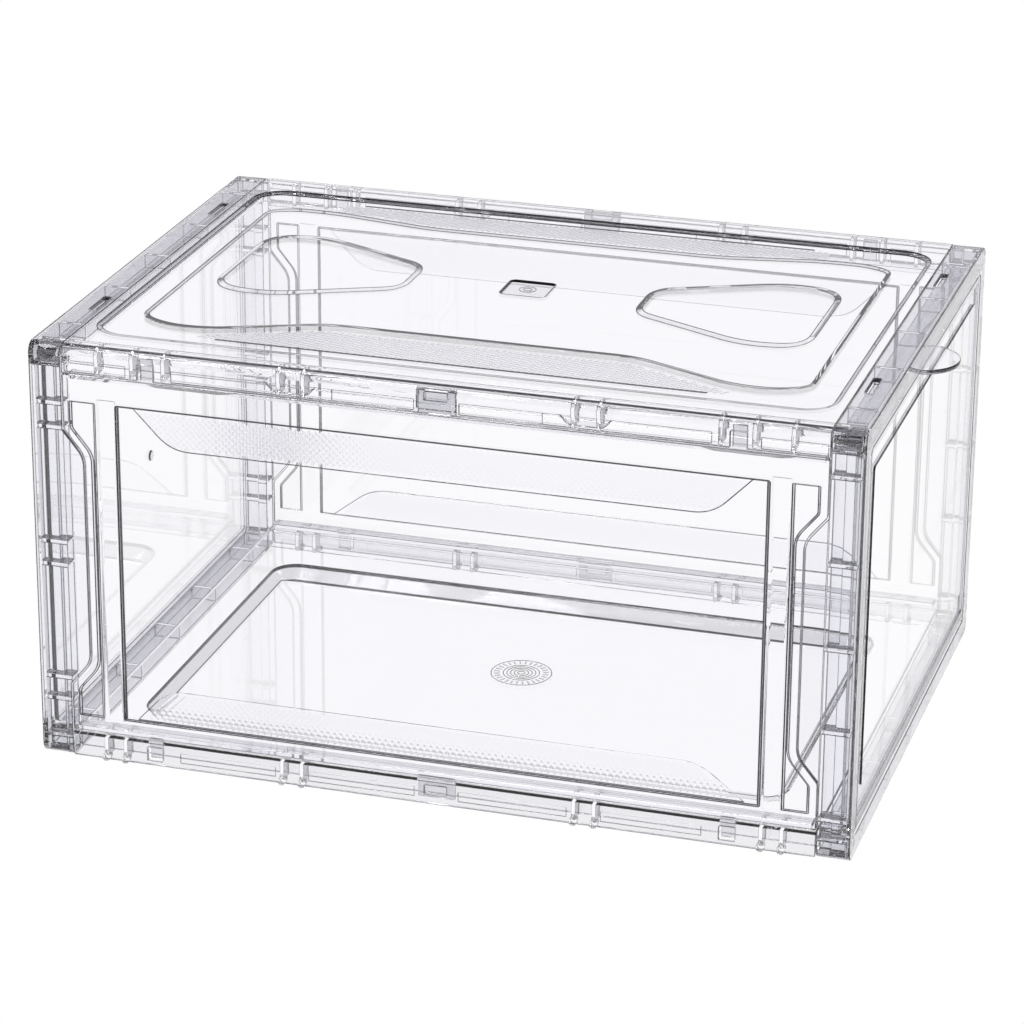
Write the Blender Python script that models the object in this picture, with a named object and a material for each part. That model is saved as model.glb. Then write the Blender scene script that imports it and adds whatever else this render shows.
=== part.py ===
"""Clear drop-front shoe box: a snap-together case of moulded panels with a hinged end door.

Frame: metres, +Z up, origin at the middle of the footprint. X runs along the box,
the long front side faces -Y and the door closes the +X end.
"""

import math

import bmesh
import bpy
from mathutils import Matrix, Vector

MM = 0.001

# Driving dimensions, in millimetres
LENGTH = 350.0
DEPTH = 250.0
HEIGHT = 185.0
WALL = 2.0
GAP = 0.3

# End frames
FRAME_WIDTH = 14.0
FRAME_CORNER = 5.0
BORDER = 10.0
CAVITY = 8.0
CAVITY_END = 2.0
RIB = 1.4
WING = 9.0
WING_LOW = 34.0
WING_HIGH = 148.0
WING_CHAMFER = 11.0
SLOT_Y = 70.0
SLOT_LENGTH = 18.0
SLOT_WIDTH = 3.0
SLOT_INSET = 9.5
REAR_RIBS = (26.0, 36.0, 87.2, 97.5, 148.4, 159.1)
DOOR_RIBS = (17.7, 56.3, 92.2, 128.3, 165.2)
BAR_RIBS = (-96.0, -46.0, 0.0, 46.0, 96.0)

# Door and rear sheet
HINGE_X = LENGTH / 2 - 2.6
HINGE_Z = 11.4
BARREL_R = 2.4
PIN_R = 1.5
SOCKET_R = 1.8
LEAF = 2.4
LEAF_HALF = DEPTH / 2 - BORDER - 1.5
LEAF_TOP = HEIGHT - BORDER - 0.4
LEDGE_REACH = 4.0
LEDGE = 2.5
TAB_R = 17.0
TAB_REACH = 13.0
SHEET = 1.8
LIP = 2.5

# Long panels, top and bottom
PANEL_HALF = LENGTH / 2 - FRAME_WIDTH - GAP
PANEL_LOW = 12.9
PANEL_HIGH = 172.6
PANEL_RECESS = 0.7
RECT_HALF = 137.6
RECT_LOW = 20.0
RECT_HIGH = 161.5
EAR_INNER = 146.0
EAR_STEP = 3.0
FLANGE = 6.5
SKIRT_LOW = 173.0
TOP_THICK = 2.2
TOP_FILLET = 4.0
INNER_SKIRT = 8.5
SKIRT_RIBS = (56.5, 67.0, 116.5, 130.2, 145.7)
BEAM_LOW = 1.2
BEAM_TOP = 12.5
BEAM_RIBS = (59.0, 67.7, 137.8, 146.4)
FLOOR_TOP = 8.0
PAN_HALF = (146.0, 93.0)
PAN_SLOPE = 6.0
PAN_CORNER = 12.0
CLIP_X = 124.0
TONGUES = ((-CLIP_X, 3.0), (0.0, 8.0), (CLIP_X, 3.0))
TONGUE = 1.5
TONGUE_BACK = 0.8
ARC_STEPS = 6


def in_metres(mesh):
    """Shapes are worked out in millimetres and kept in metres."""
    mesh.transform(Matrix.Scale(MM, 4))
    return mesh


def material(name, colour, roughness, alpha=1.0):
    """Plain moulded plastic."""
    made = bpy.data.materials.new(name)
    made.use_nodes = True
    shader = made.node_tree.nodes["Principled BSDF"]
    shader.inputs["Base Color"].default_value = (*colour, 1.0)
    shader.inputs["Roughness"].default_value = roughness
    shader.inputs["Metallic"].default_value = 0.0
    shader.inputs["Alpha"].default_value = alpha
    return made


def arc(centre, radius, start, stop, steps=ARC_STEPS):
    """Points of a round corner, angles in degrees."""
    points = []
    for step in range(steps + 1):
        angle = math.radians(start + (stop - start) * step / steps)
        points.append((centre[0] + radius * math.cos(angle), centre[1] + radius * math.sin(angle)))
    return points


def rounded_rectangle(low, high, radius):
    """A closed outline, counter-clockwise."""
    outline = []
    outline += arc((high[0] - radius, low[1] + radius), radius, -90, 0)
    outline += arc((high[0] - radius, high[1] - radius), radius, 0, 90)
    outline += arc((low[0] + radius, high[1] - radius), radius, 90, 180)
    outline += arc((low[0] + radius, low[1] + radius), radius, 180, 270)
    return outline


def rounded(corners, radius):
    """Rounds each corner of a polygon with an arc-like curve of three points."""
    outline = []
    count = len(corners)
    for index, corner in enumerate(corners):
        here = Vector(corner)
        before = Vector(corners[index - 1]) - here
        after = Vector(corners[(index + 1) % count]) - here
        cut = min(radius, before.length * 0.45, after.length * 0.45)
        first = here + before.normalized() * cut
        last = here + after.normalized() * cut
        for step in range(4):
            t = step / 3
            point = first * (1 - t) ** 2 + here * 2 * t * (1 - t) + last * t**2
            outline.append(tuple(point))
    return outline


# Each axis turns a flat outline so that its thickness runs along that axis.
AXES = {
    "X": Matrix(((0, 0, 1), (1, 0, 0), (0, 1, 0))),
    "Y": Matrix(((1, 0, 0), (0, 0, -1), (0, 1, 0))),
    "Z": Matrix.Identity(3),
}


def prism(name, outlines, axis, low, high):
    """A solid with flat outlines, the first its edge and the rest holes, between two planes."""
    curve = bpy.data.curves.new(name, "CURVE")
    curve.dimensions = "2D"
    curve.fill_mode = "BOTH"
    curve.extrude = (high - low) / 2
    for outline in outlines:
        spline = curve.splines.new("POLY")
        spline.points.add(len(outline) - 1)
        for point, (u, v) in zip(spline.points, outline):
            point.co = (u, v, 0.0, 1.0)
        spline.use_cyclic_u = True
    guide = bpy.data.objects.new(name, curve)
    bpy.context.scene.collection.objects.link(guide)
    bpy.context.view_layer.update()
    evaluated = guide.evaluated_get(bpy.context.evaluated_depsgraph_get())
    mesh = bpy.data.meshes.new_from_object(evaluated)
    bpy.data.objects.remove(guide)
    bpy.data.curves.remove(curve)
    turn = AXES[axis].to_4x4()
    middle = (low + high) / 2
    shift = {"X": (middle, 0, 0), "Y": (0, middle, 0), "Z": (0, 0, middle)}[axis]
    mesh.transform(Matrix.Translation(shift) @ turn)
    form = bmesh.new()
    form.from_mesh(mesh)
    bmesh.ops.remove_doubles(form, verts=form.verts, dist=0.001)
    bmesh.ops.recalc_face_normals(form, faces=form.faces)
    form.to_mesh(mesh)
    form.free()
    mesh.name = name
    return in_metres(mesh)


def add_box(form, low, high):
    """A box between two corners."""
    size = [b - a for a, b in zip(low, high)]
    middle = [(a + b) / 2 for a, b in zip(low, high)]
    matrix = Matrix.Translation(middle) @ Matrix.Diagonal((*size, 1.0))
    bmesh.ops.create_cube(form, size=1.0, matrix=matrix)


def boxes(name, corners):
    """One mesh of several separate boxes."""
    form = bmesh.new()
    for low, high in corners:
        add_box(form, low, high)
    mesh = bpy.data.meshes.new(name)
    form.to_mesh(mesh)
    form.free()
    return in_metres(mesh)


def cylinder(name, centre, radius, length, axis="Y", segments=24):
    """A round bar along Y or X."""
    form = bmesh.new()
    turn = Matrix.Rotation(math.radians(90), 4, "X" if axis == "Y" else "Y")
    bmesh.ops.create_cone(
        form,
        cap_ends=True,
        segments=segments,
        radius1=radius,
        radius2=radius,
        depth=length,
        matrix=Matrix.Translation(centre) @ turn,
    )
    mesh = bpy.data.meshes.new(name)
    form.to_mesh(mesh)
    form.free()
    return in_metres(mesh)


def merged(name, meshes):
    """Several separate solids as one mesh, for use as one cutter."""
    form = bmesh.new()
    for mesh in meshes:
        form.from_mesh(mesh)
    joined = bpy.data.meshes.new(name)
    form.to_mesh(joined)
    form.free()
    for mesh in meshes:
        bpy.data.meshes.remove(mesh)
    return joined


class Build:
    """The collections that the parts and their cutters go in."""

    def __init__(self):
        self.parts = bpy.data.collections.new("shoe_box")
        self.cutters = bpy.data.collections.new("cutters")
        for collection in (self.parts, self.cutters):
            bpy.context.scene.collection.children.link(collection)

    def part(self, name, mesh, look):
        made = bpy.data.objects.new(name, mesh)
        made.data.materials.append(look)
        self.parts.objects.link(made)
        return made

    def combine(self, part, mesh, operation):
        """Joins a mesh to a part, or cuts it away."""
        tool = bpy.data.objects.new(mesh.name, mesh)
        tool.hide_render = True
        tool.display_type = "WIRE"
        tool.parent = part
        self.cutters.objects.link(tool)
        step = part.modifiers.new(mesh.name, "BOOLEAN")
        step.operation = operation
        step.solver = "EXACT"
        step.use_self = operation == "UNION"
        step.object = tool

    def join(self, part, mesh):
        self.combine(part, mesh, "UNION")

    def cut(self, part, mesh):
        self.combine(part, mesh, "DIFFERENCE")


def inset_ring(inset, corner=1.0):
    """Outline of the end view, drawn in from the outer edge."""
    low = (-DEPTH / 2 + inset, inset)
    high = (DEPTH / 2 - inset, HEIGHT - inset)
    return rounded_rectangle(low, high, corner)


def stretches(low, high, ribs):
    """The gaps that ribs leave between two ends."""
    edges = [low]
    for rib in sorted(ribs):
        edges += [rib - RIB / 2, rib + RIB / 2]
    edges.append(high)
    return list(zip(edges[0::2], edges[1::2]))


def cut_channel(build, frame, post_ribs):
    """Hollows an end frame from the inside of the box, and leaves ribs across the channel.

    Built for the +X end. In the posts a wide mouth steps down to a narrow slot, which
    stops short of the end skin.
    """
    inner = LENGTH / 2 - FRAME_WIDTH - 1.0
    mouth = LENGTH / 2 - 9.0
    deep = LENGTH / 2 - CAVITY_END
    wide = []
    narrow = []
    corner_ribs = (BORDER - 1.0, HEIGHT - BORDER + 1.0)
    for low, high in stretches(WALL, HEIGHT - WALL, post_ribs + corner_ribs):
        for side in (-1, 1):
            near = side * (DEPTH / 2 - WALL)
            far = sorted((near, side * (DEPTH / 2 - CAVITY)))
            shelf = sorted((near, side * (DEPTH / 2 - CAVITY + 2.0)))
            wide.append(((inner, far[0], low), (mouth, far[1], high)))
            narrow.append(((mouth - 0.5, shelf[0], low), (deep, shelf[1], high)))
    half = DEPTH / 2 - CAVITY - 2.0
    for low, high in stretches(-half, half, BAR_RIBS):
        for bottom, top in ((WALL, CAVITY), (HEIGHT - CAVITY, HEIGHT - WALL)):
            wide.append(((inner, low, bottom), (deep, high, top)))
    build.cut(frame, boxes(f"{frame.name}_channel", wide))
    build.cut(frame, boxes(f"{frame.name}_slot", narrow))


def wing_outline():
    """The flap that each end frame spreads over a long side, seen from the front."""
    root = LENGTH / 2 - FRAME_WIDTH + 2.0
    tip = LENGTH / 2 - FRAME_WIDTH - WING
    return [
        (root, WING_LOW),
        (root, WING_HIGH),
        (LENGTH / 2 - FRAME_WIDTH, WING_HIGH),
        (tip, WING_HIGH - WING_CHAMFER),
        (tip, WING_LOW + WING_CHAMFER),
        (LENGTH / 2 - FRAME_WIDTH, WING_LOW),
    ]


def end_frame(build, name, look, post_ribs, window_inset):
    """A hollow rectangular frame with ribbed channels, wings and slots for stacking."""
    inside = LENGTH / 2 - FRAME_WIDTH
    outlines = [inset_ring(0.0, FRAME_CORNER), inset_ring(window_inset, 3.0)]
    frame = build.part(name, prism(name, outlines, "X", inside, LENGTH / 2), look)
    for index, side in enumerate((-1, 1)):
        face = side * DEPTH / 2
        span = sorted((face, face - side * WALL))
        build.join(frame, prism(f"{name}_wing_{index}", [wing_outline()], "Y", *span))
    cut_channel(build, frame, post_ribs)
    slots = []
    for y in (-SLOT_Y, SLOT_Y):
        centre = LENGTH / 2 - SLOT_INSET
        low = (centre - SLOT_WIDTH / 2, y - SLOT_LENGTH / 2, HEIGHT - WALL - 1.0)
        high = (centre + SLOT_WIDTH / 2, y + SLOT_LENGTH / 2, HEIGHT + 1.0)
        slots.append((low, high))
    build.cut(frame, boxes(f"{name}_slots", slots))
    return frame


def door_frame(build, look):
    """The +X frame: a ledge stops the leaf, and two sockets take its pins."""
    frame = end_frame(build, "door_frame", look, DOOR_RIBS, BORDER)
    ledge_high = LENGTH / 2 - 0.2 - LEAF - GAP
    ledge = prism(
        "door_ledge",
        [inset_ring(BORDER - 1.0), inset_ring(BORDER + LEDGE_REACH)],
        "X",
        ledge_high - LEDGE,
        ledge_high,
    )
    build.join(frame, ledge)
    clear_low = (ledge_high - LEDGE - 1.0, -DEPTH / 2 + BORDER, BORDER)
    clear_high = (LENGTH / 2, DEPTH / 2 - BORDER, HINGE_Z + BARREL_R + 1.2)
    sill_low = (HINGE_X - BARREL_R - 1.0, -DEPTH / 2 + BORDER, BORDER - 1.4)
    sill_high = (LENGTH / 2 + 1.0, DEPTH / 2 - BORDER, BORDER + 1.0)
    build.cut(frame, boxes("ledge_gap", [(clear_low, clear_high)]))
    build.cut(frame, boxes("sill", [(sill_low, sill_high)]))
    sockets = [
        cylinder(f"socket_{side}", (HINGE_X, side * (DEPTH / 2 - BORDER + 1.0), HINGE_Z), SOCKET_R, 4.0)
        for side in (-1, 1)
    ]
    build.cut(frame, merged("sockets", sockets))
    return frame


def rear_frame(build, look):
    """The -X frame: a lip in front of the sheet and small catches behind it."""
    frame = end_frame(build, "rear_frame", look, REAR_RIBS, BORDER)
    lip = [inset_ring(BORDER - 1.0), inset_ring(BORDER + LIP)]
    build.join(frame, prism("rear_lip", lip, "X", LENGTH / 2 - WALL, LENGTH / 2))
    catch_high = LENGTH / 2 - WALL - GAP - SHEET - GAP
    catches = []
    for y in (-SLOT_Y, 0.0, SLOT_Y):
        for low, high in ((BORDER - 0.5, BORDER + 1.2), (HEIGHT - BORDER - 1.2, HEIGHT - BORDER + 0.5)):
            catches.append(((catch_high - 1.6, y - 5.0, low), (catch_high, y + 5.0, high)))
    for side in (-1, 1):
        for z in (HEIGHT * 0.3, HEIGHT * 0.7):
            edge = side * (DEPTH / 2 - BORDER)
            ys = sorted((edge + side * 0.5, edge - side * 1.2))
            catches.append(((catch_high - 1.6, ys[0], z - 5.0), (catch_high, ys[1], z + 5.0)))
    build.join(frame, boxes("rear_catches", catches))
    frame.rotation_euler = (0.0, 0.0, math.pi)
    return frame


def rear_panel(build, look):
    """The clear sheet that closes the -X end, with its moulding gate at the middle."""
    low = (-DEPTH / 2 + BORDER + GAP, BORDER + GAP)
    high = (DEPTH / 2 - BORDER - GAP, HEIGHT - BORDER - GAP)
    outer = LENGTH / 2 - WALL - GAP
    sheet = prism("rear_panel", [rounded_rectangle(low, high, 2.5)], "X", outer - SHEET, outer)
    panel = build.part("rear_panel", sheet, look)
    gate = cylinder("rear_gate", (outer - SHEET, 0.0, HEIGHT / 2), 2.2, 1.4, axis="X")
    build.join(panel, gate)
    panel.rotation_euler = (0.0, 0.0, math.pi)
    return panel


def door(build, look):
    """The leaf, its hinge barrel with a pin at each end, and the half-round pull tab.

    Built about its hinge axis, so the object's origin lies on the joint.
    """
    outer = BARREL_R
    top = LEAF_TOP - HINGE_Z
    outline = []
    outline += [(-LEAF_HALF, 0.0), (LEAF_HALF, 0.0)]
    outline += arc((LEAF_HALF - 3.0, top - 3.0), 3.0, 0, 90)
    outline += arc((-LEAF_HALF + 3.0, top - 3.0), 3.0, 90, 180)
    leaf = build.part("door", prism("door", [outline], "X", outer - LEAF, outer), look)
    build.join(leaf, cylinder("door_barrel", (0, 0, 0), BARREL_R, 2 * LEAF_HALF - 0.2))
    build.join(leaf, cylinder("door_pins", (0, 0, 0), PIN_R, 2 * (DEPTH / 2 - BORDER + 1.6)))
    centre = outer + TAB_REACH - TAB_R
    spread = math.degrees(math.acos(-(centre - outer + 1.0) / TAB_R))
    tab = [(u, v) for u, v in arc((centre, 0.0), TAB_R, -spread, spread, 20)]
    build.join(leaf, prism("pull_tab", [tab], "Z", top - WALL - 0.3, top - 0.3))
    window = rounded_rectangle((-LEAF_HALF + 8.0, 14.6), (LEAF_HALF - 8.0, top - 10.5), 2.5)
    build.cut(leaf, prism("door_window", [window], "X", outer - PANEL_RECESS, outer + 1.0))
    leaf.location = (HINGE_X * MM, 0.0, HINGE_Z * MM)
    return leaf


def panel_outline(margin):
    """A long panel's edge, notched for the frames' wings, drawn in by a margin."""
    wide = PANEL_HALF - margin
    narrow = PANEL_HALF - WING - margin
    reach = margin * 0.41 + GAP
    right = [
        (wide, PANEL_LOW + margin),
        (wide, WING_LOW - reach),
        (narrow, WING_LOW + WING_CHAMFER - reach),
        (narrow, WING_HIGH - WING_CHAMFER + reach),
        (wide, WING_HIGH + reach),
        (wide, PANEL_HIGH - margin),
    ]
    left = [(-x, z) for x, z in reversed(right)]
    return right + left


def ear_outline(side):
    """The shallow field between a panel's notched edge and the bead beside the window."""
    wide = PANEL_HALF - EAR_STEP
    narrow = wide - WING
    reach = EAR_STEP * 0.41 + GAP
    points = [
        (EAR_INNER, RECT_LOW),
        (wide, RECT_LOW),
        (wide, WING_LOW - reach),
        (narrow, WING_LOW + WING_CHAMFER - reach),
        (narrow, WING_HIGH - WING_CHAMFER + reach),
        (wide, WING_HIGH + reach),
        (wide, RECT_HIGH),
        (EAR_INNER, RECT_HIGH),
    ]
    if side < 0:
        points = [(-x, z) for x, z in reversed(points)]
    return rounded(points, 1.5)


def long_panel(build, name, look, turn):
    """A long side: a thin wall with shallow fields, two flanges and snap tongues."""
    face = -DEPTH / 2
    outline = panel_outline(0.0)
    panel = build.part(name, prism(name, [outline], "Y", face, face + WALL), look)
    flanges = []
    for low in (PANEL_LOW, PANEL_HIGH - WALL):
        ends = PANEL_HALF - 2.0
        flanges.append(((-ends, face + 1.0, low), (ends, face + WALL + FLANGE, low + WALL)))
    build.join(panel, boxes(f"{name}_flanges", flanges))
    tongues = []
    near = face + WALL + TONGUE_BACK
    for x, half in TONGUES:
        top = HEIGHT - TOP_THICK - 0.8
        tongues.append(((x - half, near, PANEL_HIGH - 1.0), (x + half, near + TONGUE, top)))
        tongues.append(((x - half, near, BEAM_LOW + 2.0), (x + half, near + TONGUE, PANEL_LOW + 1.0)))
    build.join(panel, boxes(f"{name}_tongues", tongues))
    fields = [rounded_rectangle((-RECT_HALF, RECT_LOW), (RECT_HALF, RECT_HIGH), 2.0)]
    fields += [ear_outline(-1), ear_outline(1)]
    cuts = [
        prism(f"{name}_field_{index}", [field], "Y", face - 1.0, face + PANEL_RECESS)
        for index, field in enumerate(fields)
    ]
    build.cut(panel, merged(f"{name}_fields", cuts))
    panel.rotation_euler = (0.0, 0.0, turn)
    return panel


def rib_boxes(places, low, high):
    """Webs across the channel behind each long edge, at both sides of the middle."""
    corners = []
    for x in places:
        for end in (-1, 1):
            for side in (-1, 1):
                ys = sorted((side * (DEPTH / 2 - 1.0), side * (DEPTH / 2 - INNER_SKIRT - 1.0)))
                corners.append(((end * x - RIB / 2, ys[0], low), (end * x + RIB / 2, ys[1], high)))
    return corners


def bow_tie(half_length, half_depth, waist, corner):
    """The waisted outline of the middle of the lid."""
    points = [
        (half_length, -half_depth + 8.0),
        (half_length - 14.0, -half_depth),
        (half_length * 0.78, -half_depth),
        (half_length * 0.46, -waist),
        (-half_length * 0.46, -waist),
        (-half_length * 0.78, -half_depth),
        (-half_length + 14.0, -half_depth),
        (-half_length, -half_depth + 8.0),
    ]
    return rounded(points + [(-x, -y) for x, y in points], corner)


def top_panel(build, look):
    """The lid: a plate with rolled long edges, double skirts and raised fields."""
    half = DEPTH / 2
    under = HEIGHT - TOP_THICK
    inner = half - INNER_SKIRT
    side = [
        (half, SKIRT_LOW),
        (half - WALL, SKIRT_LOW),
        (half - WALL, under),
        (inner, under),
        (inner, SKIRT_LOW + 1.6),
        (inner - 1.5, SKIRT_LOW + 1.6),
        (inner - 1.5, under),
    ]
    section = arc((half - TOP_FILLET, HEIGHT - TOP_FILLET), TOP_FILLET, 90, 0)
    section += side
    section += [(-y, z) for y, z in reversed(side)]
    section += arc((-half + TOP_FILLET, HEIGHT - TOP_FILLET), TOP_FILLET, 180, 90)
    lid = build.part("top_panel", prism("top_panel", [section], "X", -PANEL_HALF, PANEL_HALF), look)
    build.join(lid, boxes("lid_ribs", rib_boxes(SKIRT_RIBS, SKIRT_LOW + 0.5, under + 1.0)))
    field = rounded_rectangle((-157.0, -105.5), (157.0, 105.5), 15.0)
    middle = bow_tie(143.5, 86.0, 66.0, 9.0)
    build.cut(lid, prism("lid_field", [field, middle], "Z", HEIGHT - 0.9, HEIGHT + 1.0))
    windows = []
    for y in (-half, half):
        windows.append(((-4.8, y - 3.0, 178.8), (4.8, y + 3.0, 182.2)))
        for x in (-CLIP_X, CLIP_X):
            windows.append(((x - 3.4, y - 2.4, SKIRT_LOW - 1.0), (x + 3.4, y + 2.4, 180.0)))
    build.cut(lid, boxes("lid_windows", windows))
    return lid


def tapered_pan(name, half, slope, low, high, corner):
    """A rounded block, wider at the top by the slope on every side."""
    wide = (half[0] + slope, half[1] + slope)
    outline = rounded_rectangle((-wide[0], -wide[1]), wide, corner)
    mesh = prism(name, [outline], "Z", low, high)
    middle = (low + high) / 2 * MM
    for vertex in mesh.vertices:
        if vertex.co.z < middle:
            vertex.co.x *= half[0] / wide[0]
            vertex.co.y *= half[1] / wide[1]
    return mesh


def bottom_panel(build, look):
    """The tray: ribbed beams along both sides, a sunk floor and small feet."""
    half = DEPTH / 2
    inner = half - INNER_SKIRT
    under = BEAM_TOP - WALL
    side = [
        (half, BEAM_LOW),
        (half - WALL, BEAM_LOW),
        (half - WALL, under),
        (inner, under),
        (inner, BEAM_LOW + 1.0),
        (inner - 1.5, BEAM_LOW + 1.0),
        (inner - 1.5, under),
    ]
    section = [(half, BEAM_TOP)] + side
    section += [(-y, z) for y, z in reversed(side)] + [(-half, BEAM_TOP)]
    tray = build.part("bottom_panel", prism("bottom_panel", [section], "X", -PANEL_HALF, PANEL_HALF), look)
    build.join(tray, boxes("tray_ribs", rib_boxes(BEAM_RIBS, BEAM_LOW + 0.4, under + 1.0)))
    block = (PAN_HALF[0] + WALL, PAN_HALF[1] + WALL)
    build.join(tray, tapered_pan("pan", block, PAN_SLOPE, FLOOR_TOP - WALL, BEAM_TOP - 0.1, PAN_CORNER))
    build.cut(tray, tapered_pan("pan_hollow", PAN_HALF, PAN_SLOPE, FLOOR_TOP, BEAM_TOP + 0.6, PAN_CORNER))
    windows = []
    for y in (-half, half):
        windows.append(((-4.8, y - 3.0, 5.4), (4.8, y + 3.0, 9.4)))
        for x in (-CLIP_X, CLIP_X):
            windows.append(((x - 3.4, y - 3.0, 3.2), (x + 3.4, y + 3.0, 9.2)))
    build.cut(tray, boxes("tray_windows", windows))
    slots = []
    for x, reach in TONGUES:
        for row in (-1, 1):
            near = row * (half - WALL - TONGUE_BACK + 0.4)
            far = row * (half - WALL - TONGUE_BACK - TONGUE - 0.4)
            ys = sorted((near, far))
            slots.append(((x - reach - 0.4, ys[0], under - 1.0), (x + reach + 0.4, ys[1], BEAM_TOP + 1.0)))
    build.cut(tray, boxes("tray_slots", slots))
    feet = []
    for x in BEAM_RIBS:
        for end in (-1, 1):
            for row in (-1, 1):
                outline = arc((end * x, 1.6), 1.6, 180, 360, 8) + [(end * x + 1.6, 2.6), (end * x - 1.6, 2.6)]
                ys = sorted((row * (half - 0.1), row * (half - 5.0)))
                feet.append(prism("foot", [outline], "Y", *ys))
    build.join(tray, merged("tray_feet", feet))
    return tray


def place(build):
    """Centres the whole box, tab included, over the origin."""
    overhang = HINGE_X + BARREL_R + TAB_REACH - LENGTH / 2
    carrier = bpy.data.objects.new("box_origin", None)
    carrier.location = (-overhang / 2 * MM, 0.0, 0.0)
    build.parts.objects.link(carrier)
    for item in list(build.parts.objects):
        if item is not carrier:
            item.parent = carrier


def main():
    for item in list(bpy.data.objects):
        bpy.data.objects.remove(item)
    build = Build()
    clear = material("clear_panel", (0.92, 0.92, 0.96), 0.05, 0.35)
    smoke = material("clear_frame", (0.80, 0.79, 0.84), 0.08, 0.5)
    rear_frame(build, smoke)
    door_frame(build, smoke)
    rear_panel(build, clear)
    door(build, clear)
    long_panel(build, "front_panel", clear, 0.0)
    long_panel(build, "back_panel", clear, math.pi)
    top_panel(build, clear)
    bottom_panel(build, clear)
    place(build)


main()
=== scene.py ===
"""Looks for the clear drop-front shoe box: finely edged clear mouldings, their edges and steps
drawn with painted dark lines and painted grey shade, on a white ground.
"""

import math

import bmesh
import bpy
from mathutils import Matrix, Vector


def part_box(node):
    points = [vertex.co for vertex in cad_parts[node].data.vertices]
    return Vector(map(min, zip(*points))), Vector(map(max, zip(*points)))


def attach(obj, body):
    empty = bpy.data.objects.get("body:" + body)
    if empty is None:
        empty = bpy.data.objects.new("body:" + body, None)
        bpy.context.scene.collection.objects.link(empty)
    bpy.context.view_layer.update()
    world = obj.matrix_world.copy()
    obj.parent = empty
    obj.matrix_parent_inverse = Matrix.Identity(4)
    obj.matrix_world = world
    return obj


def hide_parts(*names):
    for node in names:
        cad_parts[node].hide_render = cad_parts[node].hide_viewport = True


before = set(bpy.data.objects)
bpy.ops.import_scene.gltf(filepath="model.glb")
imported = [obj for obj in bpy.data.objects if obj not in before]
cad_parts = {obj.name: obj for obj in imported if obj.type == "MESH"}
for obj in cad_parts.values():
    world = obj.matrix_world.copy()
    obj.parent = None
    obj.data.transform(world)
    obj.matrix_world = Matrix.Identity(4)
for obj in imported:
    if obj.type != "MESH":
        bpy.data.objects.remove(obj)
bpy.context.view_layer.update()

MM = 0.001

# The case without its pull tab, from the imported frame, in millimetres
REAR_LOW, REAR_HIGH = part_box("rear_frame")
DOOR_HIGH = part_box("door_frame")[1]
MIDDLE = Vector(((REAR_LOW.x + DOOR_HIGH.x) / 2, (REAR_LOW.y + REAR_HIGH.y) / 2, REAR_LOW.z))
LENGTH = (DOOR_HIGH.x - REAR_LOW.x) / MM
DEPTH = (REAR_HIGH.y - REAR_LOW.y) / MM
HEIGHT = (REAR_HIGH.z - REAR_LOW.z) / MM
HALF = DEPTH / 2

# Cutters run this far past the faces they cut, in millimetres
OVERRUN = 1.0

# The end frames, in millimetres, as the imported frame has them
FRAME_WIDTH = 14.0
FRAME_CORNER = 5.0
OPENING_CORNER = 3.0
BORDER = 10.0
CAVITY = 8.0
WALL = 2.0
GAP = 0.3
RIB = 1.4
WING = 9.0
WING_WALL = 1.2
WING_LOW = 34.0
WING_HIGH = 148.0
WING_CHAMFER = 11.0
WING_CORNER = 4.0
CHANNEL_MOUTH = 9.0
CHANNEL_SHELF = 2.0
SLOT_Y = 70.0
SLOT_INSET = 9.5
SLOT_SIZE = (3.0, 18.0, 3.0)
LEDGE = 2.5
LEDGE_LAP = 4.0
REAR_LAP = 2.5
LIP_CORNER = 1.0
FRAME_EASE = 0.35
REAR_RIBS = (26.0, 36.0, 87.2, 97.5, 148.4, 159.1)
DOOR_RIBS = (17.7, 56.3, 92.2, 128.3, 165.2)
BAR_RIBS = (-96.0, -46.0, 0.0, 46.0, 96.0)

# The rear sheet and its gate nub
SHEET = 1.8
SHEET_CORNER = 2.5
SHEET_EASE = 0.25
GATE_RADIUS = 2.2
GATE_LENGTH = 1.4
GATE_Y = 5.0

# The door leaf, its hinge and its pull tab
LEAF = 2.4
LEAF_INSET = 0.2
LEAF_MARGIN = 1.5
LEAF_CORNER = 3.0
LEAF_EASE = 0.35
BARREL = 2.4
PIN = 1.5
SOCKET = 1.8
SOCKET_LENGTH = 4.0
TAB_RADIUS = 17.0
TAB_REACH = 13.0
TAB_STEPS = 28
TAB_EASE = 0.25
TAB_DROP = 0.3
TAB_ROOT = 1.4
HINGE_ROOM = 3.6
SILL_LENGTH = 6.0
SILL_DEPTH = 1.4
# The door's window and the raised border round it: side margin, foot and distance from the top
DOOR_WINDOW = (8.0, 14.6, 10.5)
DOOR_BORDER = (1.4, 3.2, 2.8)
BORDER_ROUND = 2.0
BORDER_FACE = 1.5

# The long panels
PANEL_HALF = LENGTH / 2 - FRAME_WIDTH - GAP
PANEL_LOW = 12.9
PANEL_HIGH = 172.6
RECT_HALF = 137.6
RECT_LOW = 20.0
RECT_HIGH = 161.5
EAR_INNER = 146.0
PANEL_CORNER = 0.8
PANEL_EASE = 0.35
JOINT_EASE = 0.25
FLANGE = 6.5
TONGUE = 1.5
CLIP_X = 124.0
CLIP_HALF = 3.0
CATCH_HALF = 8.0
PAD_CORNER = 8.0
PAD_HEIGHT = 0.4
KNURL_PITCH = 2.8
KNURL_HEIGHT = 0.22

# The lid
SKIRT_LOW = 173.0
TOP_THICK = 2.2
TOP_FILLET = 4.0
INNER_SKIRT = 8.5
INNER_WALL = 1.5
CATCH_TOP = 178.3
SKIRT_RIBS = (56.5, 67.0, 116.5, 130.2, 145.7)
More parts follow.
